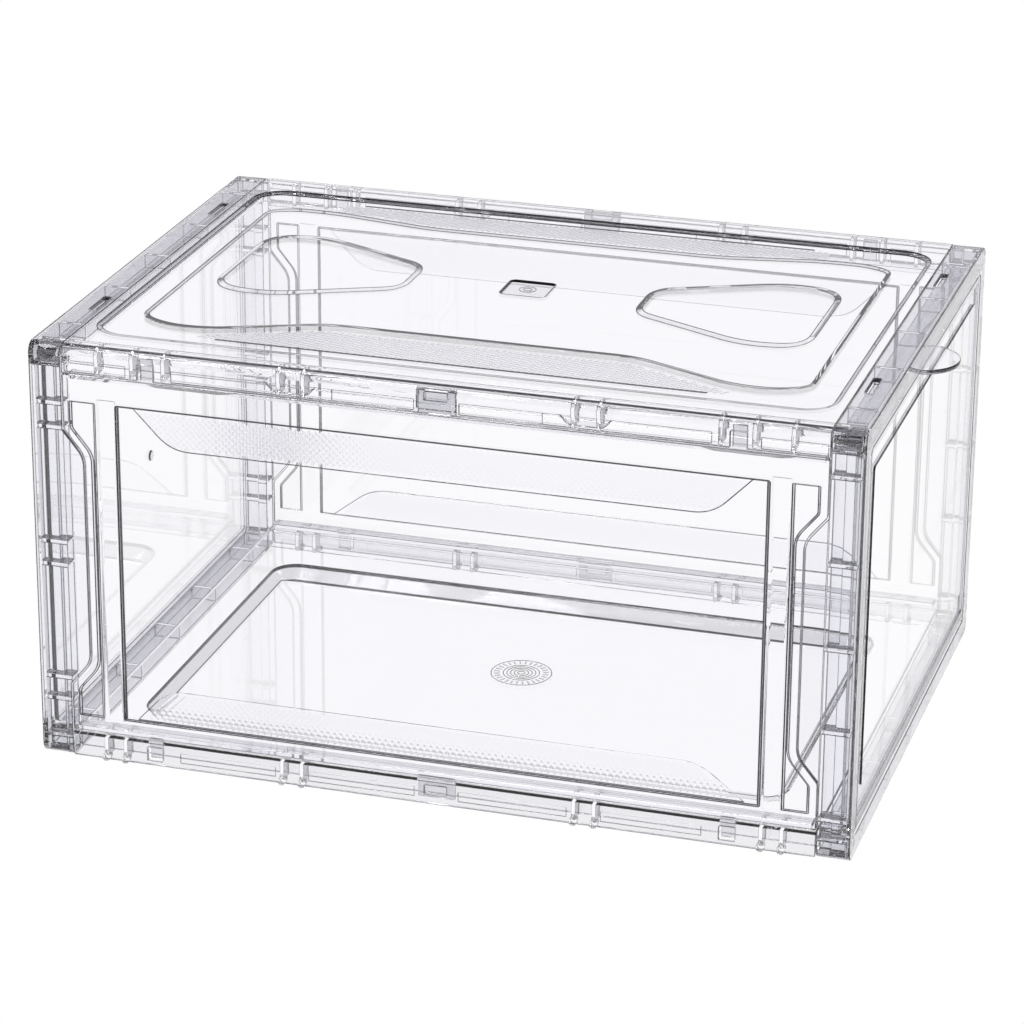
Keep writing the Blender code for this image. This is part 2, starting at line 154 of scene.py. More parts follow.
# Eased edges of the lid and of the tray
SKIN_EASE = 0.22
LID_SHIFT = 4.0
FIELD_LOW = (-157.0, -107.0)
FIELD_HIGH = (157.0, 106.0)
FIELD_CORNER = 15.0
FIELD_DEPTH, FIELD_WALL, FIELD_LINE = 0.9, 2.4, 0.5
DROP_DEPTH, DROP_WALL, DROP_LINE = 0.8, 2.8, 0.45
BADGE_DEPTH, BADGE_WALL, BADGE_LINE = 0.5, 1.2, 0.4
BADGE_HALF = 10.5
BADGE_ROUND = 3.0
BAND_HALF = 104.0
BAND_Y = 96.5
# The catch windows in the skirts: half-length, depth, low and high edge
LID_CATCH = (4.8, 4.0, 178.8, 182.2)
LID_CLIP = (3.4, 2.6, SKIRT_LOW - 1.0, 180.0)

# The tray
BEAM_LOW = 1.2
BEAM_TOP = 12.5
FLOOR_TOP = 8.0
BEAM_RIBS = (59.0, 67.7, 137.8, 146.4)
FOOT_RADIUS = 1.6
FOOT_TOP = 2.6
TRAY_CATCH = (4.8, 3.0, 5.4, 9.4)
TRAY_CLIP = (3.4, 3.0, 3.2, 9.2)
PAN_LOW = (-141.5, -99.0)
PAN_HIGH = (141.5, 79.0)
PAN_SLOPE_X = 5.0
PAN_SLOPE_Y = 11.0
PAN_CORNER = 12.0

CUT, JOIN = "DIFFERENCE", "UNION"

# Material slots of every moulding: clear, painted grey shade, painted black line, frosted, painted
# mid-grey shade and painted dark line
CLEAR, PAINTED_GREY_SHADE, PAINTED_BLACK_LINE, FROST, PAINTED_MID_SHADE, PAINTED_DARK_LINE = range(6)

# Edges sharper than this, in degrees, are eased and shaded sharp
SHARP = 50.0
# A face whose normal is this near to an axis is flat
SQUARE = 0.9999


# ---------------------------------------------------------------- outlines

# Most of a side that the curve at one of its ends may take
CORNER_SHARE = 0.48
# Points nearer than this are the same point
SAME_POINT = 1e-9
# Keeps a corner that folds back from running far out when it is drawn in
BLUNTEST = 0.2


def arc(centre, radius, start, stop, steps=8):
    """Points of a round corner, angles in degrees."""
    points = []
    for step in range(steps + 1):
        angle = math.radians(start + (stop - start) * step / steps)
        points.append((centre[0] + radius * math.cos(angle), centre[1] + radius * math.sin(angle)))
    return points


def rounded_rectangle(low, high, radius):
    """A rectangle with round corners, from the low right one round to the low left one."""
    outline = []
    outline += arc((high[0] - radius, low[1] + radius), radius, -90, 0)
    outline += arc((high[0] - radius, high[1] - radius), radius, 0, 90)
    outline += arc((low[0] + radius, high[1] - radius), radius, 90, 180)
    outline += arc((low[0] + radius, low[1] + radius), radius, 180, 270)
    return outline


def rounded(corners, radius, steps=8):
    """A polygon with each corner eased by a curve; radius may be one for each corner."""
    outline = []
    count = len(corners)
    radii = radius if isinstance(radius, (list, tuple)) else [radius] * count
    for index, corner in enumerate(corners):
        here = Vector(corner)
        before = Vector(corners[index - 1]) - here
        after = Vector(corners[(index + 1) % count]) - here
        longest = min(before.length, after.length) * CORNER_SHARE
        cut = min(radii[index], longest)
        first = here + before.normalized() * cut
        last = here + after.normalized() * cut
        for step in range(steps + 1):
            t = step / steps
            outline.append(tuple(first * (1 - t) ** 2 + here * 2 * t * (1 - t) + last * t**2))
    return outline


def inset(outline, distance, spread=(1.0, 1.0)):
    """The outline drawn in by a distance, or out by a negative one.

    spread scales the distance across and up.
    """
    count = len(outline)
    moved = []
    for index, point in enumerate(outline):
        here = Vector(point)
        along = here - Vector(outline[index - 1])
        on = Vector(outline[(index + 1) % count]) - here
        if along.length < SAME_POINT:
            along = on
        if on.length < SAME_POINT:
            on = along
        n1 = Vector((-along.y, along.x)).normalized()
        n2 = Vector((-on.y, on.x)).normalized()
        bisector = (n1 + n2) / max(1.0 + n1.dot(n2), BLUNTEST)
        across, up = bisector * distance
        moved.append((point[0] + across * spread[0], point[1] + up * spread[1]))
    return moved


def mirrored(outline):
    """The outline at the other side, turned so that it still runs the same way round."""
    return [(-u, v) for u, v in reversed(outline)]


# ---------------------------------------------------------------- solids

# Distances at which points are welded, in metres
LOFT_WELD = 1e-7
EDGE_WELD = 1e-5
ROD_SIDES = 32

# Take an outline's plane and its height to X, Y and Z
AXES = {
    "X": Matrix(((0, 0, 1), (1, 0, 0), (0, 1, 0))).to_4x4(),
    "Y": Matrix(((1, 0, 0), (0, 0, -1), (0, 1, 0))).to_4x4(),
    "Z": Matrix.Identity(4),
}


def loft(levels, axis="Z", bands=None, caps=(CLEAR, CLEAR)):
    """A closed solid through outlines of equal count, each at its own height along an axis.

    Heights along Y count towards -Y, so that every axis keeps the solid facing out.
    """
    form = bmesh.new()
    rings = []
    for outline, height in levels:
        rings.append([form.verts.new((u * MM, v * MM, height * MM)) for u, v in outline])
    count = len(rings[0])
    for index in range(len(rings) - 1):
        look = bands[index] if bands else CLEAR
        for corner in range(count):
            after = (corner + 1) % count
            low, high = rings[index], rings[index + 1]
            face = form.faces.new((low[corner], low[after], high[after], high[corner]))
            face.material_index = look
    form.faces.new(list(reversed(rings[0]))).material_index = caps[0]
    form.faces.new(rings[-1]).material_index = caps[1]
    bmesh.ops.remove_doubles(form, verts=form.verts, dist=LOFT_WELD)
    bmesh.ops.recalc_face_normals(form, faces=form.faces)
    form.transform(AXES[axis])
    mesh = bpy.data.meshes.new("solid")
    form.to_mesh(mesh)
    form.free()
    return mesh


def prism(outline, axis, low, high, side=CLEAR, caps=(CLEAR, CLEAR)):
    """A straight solid between two places along an axis."""
    if axis == "Y":
        low, high = -high, -low
    return loft([(outline, low), (outline, high)], axis, [side], caps)


def slab(outline, axis, low, high, ease):
    """A prism whose two outer edges are eased, the eased bands painted as dark lines and the sides
    between them painted grey shade.
    """
    if axis == "Y":
        low, high = -high, -low
    small = inset(outline, ease)
    levels = [(small, low), (outline, low + ease), (outline, high - ease), (small, high)]
    return loft(levels, axis, [PAINTED_DARK_LINE, PAINTED_GREY_SHADE, PAINTED_DARK_LINE])


def boxes(corners, look=CLEAR, ease=0.0):
    """Boxes in one mesh; look is one slot for all faces or one each for those across X, Y and Z."""
    looks = look if isinstance(look, tuple) else (look, look, look)
    form = bmesh.new()
    for low, high in corners:
        size = [(b - a) * MM for a, b in zip(low, high)]
        middle = [(a + b) / 2 * MM for a, b in zip(low, high)]
        matrix = Matrix.Translation(middle) @ Matrix.Diagonal((*size, 1.0))
        bmesh.ops.create_cube(form, size=1.0, matrix=matrix)
    form.normal_update()
    for face in form.faces:
        face.material_index = looks[max(range(3), key=lambda axis: abs(face.normal[axis]))]
    if ease:
        # The eased edges are painted as dark lines
        bmesh.ops.bevel(
            form, geom=form.edges[:], offset=ease * MM, segments=2, profile=0.5,
            affect="EDGES", material=PAINTED_DARK_LINE,
        )
    mesh = bpy.data.meshes.new("boxes")
    form.to_mesh(mesh)
    form.free()
    return mesh


def rod(centre, radius, length, axis="Y", look=CLEAR):
    """A round rod along an axis, about its middle."""
    form = bmesh.new()
    turn = Matrix.Rotation(math.radians(90), 4, {"Y": "X", "X": "Y"}[axis])
    place = Matrix.Translation([c * MM for c in centre]) @ turn
    bmesh.ops.create_cone(
        form, cap_ends=True, segments=ROD_SIDES, radius1=radius * MM, radius2=radius * MM,
        depth=length * MM, matrix=place,
    )
    for face in form.faces:
        face.material_index = look
    mesh = bpy.data.meshes.new("rod")
    form.to_mesh(mesh)
    form.free()
    return mesh


def merged(meshes):
    """Several solids that do not touch each other, in one mesh."""
    form = bmesh.new()
    for mesh in meshes:
        form.from_mesh(mesh)
    joined = bpy.data.meshes.new("joined")
    form.to_mesh(joined)
    form.free()
    return joined


def combined(mesh, steps, bevel=0.0, late=(), keep=(), paint=None):
    """Cuts and joins meshes in turn, eases the sharp edges and returns the finished mesh.

    late steps come after the edges are eased. keep holds closed solids that lie on the
    piece and are only added to its mesh. paint names the slot of a finished face from its
    centre in millimetres and its normal.
    """
    dress(mesh)
    base = bpy.data.objects.new("base", mesh)
    bpy.context.scene.collection.objects.link(base)
    tools = [boolean(base, *step) for step in steps]
    if bevel:
        weld = base.modifiers.new("weld", "WELD")
        weld.merge_threshold = EDGE_WELD
        ease = base.modifiers.new("ease", "BEVEL")
        ease.width = bevel * MM
        ease.segments = 2
        ease.limit_method = "ANGLE"
        ease.angle_limit = math.radians(SHARP)
        ease.use_clamp_overlap = False
        ease.miter_outer = "MITER_ARC"
        ease.loop_slide = False
        # The eased edges are painted as dark lines
        ease.material = PAINTED_DARK_LINE
    tools += [boolean(base, *step) for step in late]
    made = evaluated(base)
    for item in tools + [base]:
        bpy.data.objects.remove(item)
    form = bmesh.new()
    form.from_mesh(made)
    for extra in keep:
        form.from_mesh(extra)
    form.to_mesh(made)
    form.free()
    made.shade_smooth()
    made.set_sharp_from_angle(angle=math.radians(SHARP))
    for face in made.polygons:
        square = max(abs(part) for part in face.normal) > SQUARE
        face.use_smooth = not square
        look = paint(face.center / MM, face.normal) if paint else None
        if look is not None:
            face.material_index = look
    return made


def boolean(base, operation, mesh):
    """Adds one cut or join to the base and returns its tool."""
    dress(mesh)
    tool = bpy.data.objects.new("tool", mesh)
    bpy.context.scene.collection.objects.link(tool)
    step = base.modifiers.new("step", "BOOLEAN")
    step.operation = operation
    step.solver = "EXACT"
    step.use_self = operation == JOIN
    step.object = tool
    return tool


def dress(mesh):
    """Gives a solid the material slots of the piece that it will be part of."""
    if not mesh.materials:
        for look in MATERIALS:
            mesh.materials.append(look)


def evaluated(thing):
    """The mesh of an object with its modifiers carried out."""
    bpy.context.view_layer.update()
    return bpy.data.meshes.new_from_object(
        thing.evaluated_get(bpy.context.evaluated_depsgraph_get())
    )


def piece(name, mesh, body, node, turn=0.0, at=(0.0, 0.0, 0.0)):
    """Places a moulding in the row frame and lets it stand for its CAD node."""
    for corner in mesh.vertices:
        corner.co.y = min(max(corner.co.y, -HALF * MM), HALF * MM)
    made = bpy.data.objects.new(name, mesh)
    mesh.name = name
    bpy.context.scene.collection.objects.link(made)
    made.location = MIDDLE + Vector(at) * MM
    made.rotation_euler = (0, 0, turn)
    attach(made, body)
    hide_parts(node)
    return made


def recess(outline, face, depth, slope, axis, spread, line, wall=PAINTED_GREY_SHADE, floor=CLEAR):
    """A cutter for a shallow field: a thin painted dark line at each end of its sloped wall, and
    painted grey shade on the wall between unless wall says otherwise.

    Each stage is how far in and how far down the cutter's outline has gone.
    """
    stages = [
        (0.0, -0.6),
        (0.0, 0.0),
        (line, depth * 0.3),
        (slope - line, depth * 0.75),
        (slope, depth),
    ]
    levels = [(inset(outline, inward, spread), face - down) for inward, down in stages]
    return loft(levels[::-1], axis, [PAINTED_BLACK_LINE, wall, PAINTED_BLACK_LINE, PAINTED_BLACK_LINE], (floor, CLEAR))


def knurl(inside, low, high, axis, face, way):
    """A grip patch: small pyramids on a surface, wherever inside(u, v) is true.

    way is 1 where the surface faces along the axis of heights and -1 where it faces back.
    """
    form = bmesh.new()
    columns = int((high[0] - low[0]) / KNURL_PITCH)
    rows = int((high[1] - low[1]) / KNURL_PITCH)
    half = KNURL_PITCH / 2
    for column in range(columns):
        for row in range(rows * 2):
            u = low[0] + (column + 0.5 + (row % 2) * 0.5) * KNURL_PITCH
            v = low[1] + (row + 1) * half
            if not inside(u, v):
                continue
            corners = [(u - half, v), (u, v - half), (u + half, v), (u, v + half)]
            base = [form.verts.new((a * MM, b * MM, face * MM)) for a, b in corners[::way]]
            tip = form.verts.new((u * MM, v * MM, (face + way * KNURL_HEIGHT) * MM))
            form.faces.new(base[::-1])
            for index in range(4):
                form.faces.new((base[index], base[(index + 1) % 4], tip))
    for item in form.faces:
        item.material_index = FROST
    form.transform(AXES[axis])
    mesh = bpy.data.meshes.new("knurl")
    form.to_mesh(mesh)
    form.free()
    return mesh


# ---------------------------------------------------------------- materials

PLASTIC_IOR = 1.49
FLOW_SCALE = 22.0
FLOW_HEIGHT = 0.012
SCUFF_SCALE = 90.0
SCUFF_DETAIL = 6.0
SCUFF_MIX = 0.7
# Noise between these values turns from no scuff to a full one
SCUFF_START, SCUFF_FULL = 0.62, 0.8
SCUFF_ROUGHNESS = 0.1


def plastic(name, colour, roughness=0.0):
    """Clear moulded plastic: a faint flow waviness and fine handling scuffs; a grey or dark colour
    makes it a painted shade look.
    """
    made = bpy.data.materials.new(name)
    made.use_nodes = True
    tree = made.node_tree
    shader = tree.nodes["Principled BSDF"]
    shader.inputs["Base Color"].default_value = (*colour, 1.0)
    shader.inputs["IOR"].default_value = PLASTIC_IOR
    shader.inputs["Transmission Weight"].default_value = 1.0
    place = tree.nodes.new("ShaderNodeTexCoord")
    flow = tree.nodes.new("ShaderNodeTexNoise")
    flow.inputs["Scale"].default_value = FLOW_SCALE
    flow.inputs["Detail"].default_value = 1.0
    bump = tree.nodes.new("ShaderNodeBump")
    bump.inputs["Strength"].default_value = 1.0
    bump.inputs["Distance"].default_value = FLOW_HEIGHT * MM
    scuff = tree.nodes.new("ShaderNodeTexNoise")
    scuff.inputs["Scale"].default_value = SCUFF_SCALE
    scuff.inputs["Detail"].default_value = SCUFF_DETAIL
    scuff.inputs["Roughness"].default_value = SCUFF_MIX
    rough = tree.nodes.new("ShaderNodeMapRange")
    rough.inputs["From Min"].default_value = SCUFF_START
    rough.inputs["From Max"].default_value = SCUFF_FULL
    rough.inputs["To Min"].default_value = roughness
    rough.inputs["To Max"].default_value = roughness + SCUFF_ROUGHNESS
    tree.links.new(place.outputs["Object"], flow.inputs["Vector"])
    tree.links.new(place.outputs["Object"], scuff.inputs["Vector"])
    tree.links.new(flow.outputs["Fac"], bump.inputs["Height"])
    tree.links.new(bump.outputs["Normal"], shader.inputs["Normal"])
    tree.links.new(scuff.outputs["Fac"], rough.inputs["Value"])
    tree.links.new(rough.outputs["Result"], shader.inputs["Roughness"])
    return made


# In the order of the material slots; the grey and near-black looks are painted shade and painted
# dark lines for the edges and steps of the clear plastic
PANEL_LOOKS = [
    plastic("clear_plastic", (0.98, 0.978, 0.99)),
    plastic("shade_painted_grey", (0.72, 0.72, 0.75)),
    plastic("shade_painted_black_line", (0.006, 0.006, 0.008)),
    plastic("frosted_grip", (0.97, 0.97, 0.985), roughness=0.08),
    plastic("shade_painted_mid_grey", (0.5, 0.5, 0.53)),
    plastic("shade_painted_dark_line", (0.09, 0.09, 0.10)),
]
# The frame's grey and near-black looks are painted shade and painted dark lines as well
FRAME_LOOKS = [
    plastic("frame_plastic", (0.92, 0.92, 0.945)),
    plastic("frame_shade_painted_grey", (0.55, 0.55, 0.59)),
    plastic("frame_shade_painted_black_line", (0.006, 0.006, 0.008)),
    plastic("frame_frost", (0.8, 0.8, 0.82), roughness=0.1),
    plastic("frame_shade_painted_mid_grey", (0.22, 0.22, 0.24)),
    plastic("frame_shade_painted_dark_line", (0.09, 0.09, 0.10)),
]


# ---------------------------------------------------------------- end frames

def end_view(margin, corner):
    """The frame's outline across X, drawn in by a margin."""
    low = (-HALF + margin, margin)
    high = (HALF - margin, HEIGHT - margin)
    return rounded_rectangle(low, high, corner)


def stretches(low, high, ribs):
    """The spans of a channel that its ribs leave open."""
    edges = [low]
    for rib in sorted(ribs):
        edges += [rib - RIB / 2, rib + RIB / 2]
    edges.append(high)
    return list(zip(edges[0::2], edges[1::2]))


def wing_outline():
    """The thin wing beside a post, which fills the notch of a long panel."""
    seam = LENGTH / 2 - FRAME_WIDTH
    tip = seam - WING
    corners = [
        (seam, WING_LOW),
        (seam, WING_HIGH),
        (tip, WING_HIGH - WING_CHAMFER),
        (tip, WING_LOW + WING_CHAMFER),
    ]
    return rounded(corners, (0.0, 0.0, WING_CORNER, WING_CORNER))


def frame_steps(post_ribs):
    """The cuts and joins that both end frames share, built for the +X end."""
    steps = []
    for side in (-1, 1):
        face = side * HALF
        span = sorted((face, face - side * WING_WALL))
        # The wing's edges are painted black lines
        steps.append((JOIN, prism(wing_outline(), "Y", *span, side=PAINTED_BLACK_LINE)))
    inner = LENGTH / 2 - FRAME_WIDTH - OVERRUN
    mouth = LENGTH / 2 - CHANNEL_MOUTH
    deep = LENGTH / 2 - WALL
    wide, narrow, bars = [], [], []
    end_ribs = (BORDER - 1.0, HEIGHT - BORDER + 1.0)
    for low, high in stretches(WALL, HEIGHT - WALL, post_ribs + end_ribs):
        for side in (-1, 1):
            near = side * (HALF - WALL)
            far = sorted((near, side * (HALF - CAVITY)))
            shelf = sorted((near, side * (HALF - CAVITY + CHANNEL_SHELF)))
            wide.append(((inner, far[0], low), (mouth, far[1], high)))
            narrow.append(((mouth - 0.5, shelf[0], low), (deep, shelf[1], high)))
    half = HALF - CAVITY - WALL
    for low, high in stretches(-half, half, BAR_RIBS):
        for bottom, top in ((WALL, CAVITY), (HEIGHT - CAVITY, HEIGHT - WALL)):
            bars.append(((inner, low, bottom), (deep, high, top)))
    # The channel and bar walls are painted grey shade, the rib sides painted mid-grey shade
    steps.append((CUT, boxes(wide, (PAINTED_GREY_SHADE, CLEAR, PAINTED_MID_SHADE))))
    steps.append((CUT, boxes(narrow, (PAINTED_GREY_SHADE, CLEAR, PAINTED_MID_SHADE))))
    steps.append((CUT, boxes(bars, (PAINTED_GREY_SHADE, CLEAR, PAINTED_GREY_SHADE))))
    slots = []
    across, along, down = SLOT_SIZE
    x = LENGTH / 2 - SLOT_INSET
    for y in (-SLOT_Y, SLOT_Y):
        low = (x - across / 2, y - along / 2, HEIGHT - down)
        high = (x + across / 2, y + along / 2, HEIGHT + OVERRUN)
        slots.append((low, high))
    # The slots are painted black
    steps.append((CUT, boxes(slots, PAINTED_BLACK_LINE)))
    return steps


def ring(outer, inner, low, high, look=CLEAR):
    """A flat ring across X between two outlines."""
    middle = prism(inner, "X", low - OVERRUN, high + OVERRUN, side=look)
    return combined(prism(outer, "X", low, high, caps=(look, look)), [(CUT, middle)])


def frame_base():
    """The plain frame, before its channels are cut."""
    inside = LENGTH / 2 - FRAME_WIDTH
    outer = end_view(0.0, FRAME_CORNER)
    return ring(outer, end_view(BORDER, OPENING_CORNER), inside, LENGTH / 2)


def lip(lap, low, high, look=CLEAR):
    """A lip round the opening of a frame, which a sheet or the door lies against."""
    outer = end_view(BORDER - OVERRUN, LIP_CORNER)
    return ring(outer, end_view(BORDER + lap, LIP_CORNER), low, high, look)


def door_frame():
    """The +X frame: a ledge stops the leaf, and two sockets take its pins."""
    steps = frame_steps(DOOR_RIBS)
    top = LENGTH / 2 - LEAF_INSET - LEAF - GAP
    # The ledge is painted grey shade
    steps.append((JOIN, lip(LEDGE_LAP, top - LEDGE, top, PAINTED_GREY_SHADE)))
    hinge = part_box("door")[0].z / MM + BARREL
    open_half = HALF - BORDER
    clear_high = (LENGTH / 2, open_half, hinge + HINGE_ROOM)
    steps.append((CUT, boxes([((top - LEDGE - OVERRUN, -open_half, BORDER), clear_high)])))
    sill_low = (LENGTH / 2 - SILL_LENGTH, -open_half, BORDER - SILL_DEPTH)
    sill_high = (LENGTH / 2 + OVERRUN, open_half, BORDER + OVERRUN)
    steps.append((CUT, boxes([(sill_low, sill_high)])))
    sockets = []
    for side in (-1, 1):
        centre = (LENGTH / 2 - LEAF_INSET - LEAF, side * (open_half + 1.0), hinge)
        sockets.append(rod(centre, SOCKET, SOCKET_LENGTH))
    steps.append((CUT, merged(sockets)))
    mesh = combined(frame_base(), steps, bevel=FRAME_EASE)
    return piece("door_frame_moulding", mesh, "case", "door_frame")


def rear_frame():
    """The -X frame, built for the +X end and turned round: its lip holds the rear sheet."""
    steps = frame_steps(REAR_RIBS)
    steps.append((JOIN, lip(REAR_LAP, LENGTH / 2 - WALL, LENGTH / 2)))
    mesh = combined(frame_base(), steps, bevel=FRAME_EASE)
    return piece("rear_frame_moulding", mesh, "case", "rear_frame", turn=math.pi)


def rear_panel():
    """A plain sheet with its gate nub; the sheet's rim is painted as a black line and the nub
    painted mid-grey shade.
    """
    outer = LENGTH / 2 - WALL - GAP
    inner = outer - SHEET
    sheet = prism(end_view(BORDER + GAP, SHEET_CORNER), "X", inner, outer, side=PAINTED_BLACK_LINE)
    gate = rod((inner, GATE_Y, HEIGHT / 2), GATE_RADIUS, GATE_LENGTH, axis="X", look=PAINTED_MID_SHADE)
    mesh = combined(sheet, [(JOIN, gate)], bevel=SHEET_EASE)
    return piece("rear_sheet", mesh, "case", "rear_panel", turn=math.pi)


def pull_tab(top):
    """The half-round tab below the leaf's upper edge, with its flat side in the leaf."""
    centre = LEAF + TAB_REACH - TAB_RADIUS
    spread = math.degrees(math.acos(-(centre - TAB_ROOT) / TAB_RADIUS))
    outline = arc((centre, 0.0), TAB_RADIUS, -spread, spread, TAB_STEPS)
    return slab(outline, "Z", top - WALL - TAB_DROP, top - TAB_DROP, TAB_EASE)


def leaf_outline(half, top, margins):
    """A rounded outline on the leaf: its side margin, its foot and its distance from the top."""
    side, foot, drop = margins
    return rounded_rectangle((-half + side, foot), (half - side, top - drop), BORDER_ROUND)


def door():
    """The leaf with its hinge barrel at the origin, its pins, tab and raised border; barrel and
    pins are painted mid-grey shade, the border's walls painted grey shade and a black line.
    """
    half = HALF - BORDER - LEAF_MARGIN
    low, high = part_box("door")
    hinge = low.z / MM + BARREL
    top = high.z / MM - hinge
    outline = [(-half, 0.0), (half, 0.0)]
    outline += arc((half - LEAF_CORNER, top - LEAF_CORNER), LEAF_CORNER, 0, 90)
    outline += arc((-half + LEAF_CORNER, top - LEAF_CORNER), LEAF_CORNER, 90, 180)
    window = leaf_outline(half, top, DOOR_WINDOW)
    border = combined(
        prism(leaf_outline(half, top, DOOR_BORDER), "X", BORDER_FACE, BORDER_FACE + 1.5, side=PAINTED_GREY_SHADE),
        [(CUT, prism(window, "X", BORDER_FACE - 0.5, BORDER_FACE + 2.5, side=PAINTED_BLACK_LINE))],
    )
    steps = [
        (JOIN, rod((0, 0, 0), BARREL, 2 * half - 0.2, look=PAINTED_MID_SHADE)),
        (JOIN, rod((0, 0, 0), PIN, 2 * (HALF - BORDER + 1.6), look=PAINTED_MID_SHADE)),
        (JOIN, pull_tab(top)),
        (CUT, border),
    ]
    mesh = combined(slab(outline, "X", 0.0, LEAF, LEAF_EASE), steps)
    at = (LENGTH / 2 - LEAF_INSET - LEAF, 0.0, hinge)
    return piece("door_leaf_moulding", mesh, "door_leaf", "door", at=at)


# ---------------------------------------------------------------- long panels

# How much further along the notch's ends lie for each millimetre of margin
NOTCH_SHIFT = 0.41
# The recesses' walls are wider across than up, as the light from the side draws them
WALL_SPREAD = (1.5, 0.9)
RECESS_DEPTH = 0.6
WINDOW_WALL, WINDOW_LINE = 1.1, 0.5
EAR_WALL, EAR_LINE = 0.9, 0.32


def panel_edge(margin, low, high):
    """The notched side of a long panel, from bottom to top."""
    wide = PANEL_HALF - margin
    narrow = wide - WING
    reach = margin * NOTCH_SHIFT + GAP
    return [
        (wide, low),
        (wide, WING_LOW - reach),
        (narrow, WING_LOW + WING_CHAMFER - reach),
        (narrow, WING_HIGH - WING_CHAMFER + reach),
        (wide, WING_HIGH + reach),
        (wide, high),
    ]


def panel_joints():
    """The flanges above and below a long panel, and the snap tongues that stand on them."""
    face = -HALF
    ends = PANEL_HALF - 2.0
    flanges = [
        ((-ends, face + 1.0, low), (ends, face + WALL + FLANGE, low + WALL))
        for low in (PANEL_LOW, PANEL_HIGH - WALL)
    ]
    near = face + WALL + 0.8
    far = near + TONGUE
    lid_high = HEIGHT - TOP_THICK - 0.8
    tray_low = BEAM_LOW + 2.0
    tongues = []
    for x, half in ((-CLIP_X, CLIP_HALF), (0.0, CATCH_HALF), (CLIP_X, CLIP_HALF)):
        tongues.append(((x - half, near, PANEL_HIGH - 1.0), (x + half, far, lid_high)))
        tongues.append(((x - half, near, tray_low), (x + half, far, PANEL_LOW + 1.0)))
    # The tongues are painted grey shade, and all eased edges painted dark lines
    return [
        (JOIN, boxes(flanges, ease=JOINT_EASE)),
        (JOIN, boxes(tongues, PAINTED_GREY_SHADE, ease=JOINT_EASE)),
    ]


def grip_pads(inner):
    """The two low pads inside a long panel that carry the grip patches."""
    upper = [(-131.0, 161.0), (-114.0, 143.7), (114.0, 143.7), (131.0, 161.0)]
    lower = [(-132.0, 20.6), (131.0, 20.6), (111.0, 36.0), (-118.0, 36.0)]
    pads = []
    for corners, radii in (
        (upper, (1.0, PAD_CORNER, PAD_CORNER, 1.0)),
        (lower, (1.0, 1.0, PAD_CORNER, PAD_CORNER)),
    ):
        pad = rounded(corners, radii)
        levels = [
            (inset(pad, PAD_HEIGHT), inner - PAD_HEIGHT),
            (pad, inner),
            (pad, inner + 0.5),
        ]
        # The pads' sloped rims are painted dark lines
        pads.append(loft(levels, "Y", [PAINTED_DARK_LINE, CLEAR]))
    return merged(pads)


def grips(inner):
    """The knurled patches on the two pads, a little inside the pads' edges."""
    def on_upper(u, v):
        return 145.0 < v < 159.6 and abs(u) < 113.5 + (v - 143.7) * 0.97

    def on_lower(u, v):
        return 22.0 < v < 34.8 and -129.5 + (v - 20.6) * 0.9 < u < 128.5 - (v - 20.6) * 1.3

    level = inner - PAD_HEIGHT - 0.02
    return [
        knurl(on_upper, (-134.0, 143.0), (134.0, 162.0), "Y", level, -1),
        knurl(on_lower, (-134.0, 20.0), (134.0, 36.0), "Y", level, -1),
    ]


def panel_outlines():
    """The recesses in the outer face: the large rectangle and an ear beside each post."""
    window = rounded_rectangle((-RECT_HALF, RECT_LOW), (RECT_HALF, RECT_HIGH), 1.2)
    ear = panel_edge(3.0, RECT_LOW, RECT_HIGH)
    ear += [(EAR_INNER, RECT_HIGH), (EAR_INNER, RECT_LOW)]
    ear = rounded(ear, (0.8, 1.2, WING_CORNER, WING_CORNER, 1.2, 0.8, 0.8, 0.8))
    cuts = [recess(window, HALF, RECESS_DEPTH, WINDOW_WALL, "Y", WALL_SPREAD, WINDOW_LINE)]
    for outline in (ear, mirrored(ear)):
        cuts.append(recess(outline, HALF, RECESS_DEPTH, EAR_WALL, "Y", WALL_SPREAD, EAR_LINE))
    return [(CUT, cut) for cut in cuts]


def panel_paint(centre, normal):
    """Painted dark lines on the walls at the seams with the posts' wings, and a paler painted grey
    shade on the foot above the tray.
    """
    near_seam = abs(centre.x) > PANEL_HALF - WING - 1.0
    if near_seam and abs(normal.x) > 0.2 and abs(normal.y) < 0.5:
        return PAINTED_BLACK_LINE
    if centre.z < PANEL_LOW + 0.4 and abs(centre.x) < PANEL_HALF - 2.0:
        return PAINTED_GREY_SHADE
    return None


def long_panel(name, node, turn):
    """The -Y wall, or the +Y one when turned round."""
    face = -HALF
    inner = HALF - WALL
    edge = panel_edge(0.0, PANEL_LOW, PANEL_HIGH)
    radii = (PANEL_CORNER, 1.0, WING_CORNER, WING_CORNER, 1.0, PANEL_CORNER)
    outline = rounded(edge + [(-x, z) for x, z in reversed(edge)], radii + radii[::-1])
    plate = slab(outline, "Y", face, face + WALL, PANEL_EASE)
    beads = merged([bead(side * (RECT_HALF + EAR_INNER) / 2) for side in (-1, 1)])
    steps = panel_joints() + [(JOIN, grip_pads(inner)), (JOIN, beads)] + panel_outlines()
    mesh = combined(plate, steps, keep=grips(inner), paint=panel_paint)
    return piece(name, mesh, "case", node, turn=turn)


def bead(centre):
    """A low upright bead on the inner face, with a flat top between two soft ramps."""
    ramp, reach, rise, sunk, steps = 2.0, 4.8, 0.6, 0.4, 8
    climb = []
    for step in range(steps + 1):
        share = step / steps
        climb.append((reach - ramp * share, rise * (1 - math.cos(math.pi * share)) / 2))
    half = [(reach, -sunk)] + climb
    outline = half + [(-u, v) for u, v in reversed(half)]
    outline = [(centre + u, -HALF + WALL + v) for u, v in outline]
    return loft([(outline, RECT_LOW - 1.0), (outline, RECT_HIGH + 1.0)], "Z")


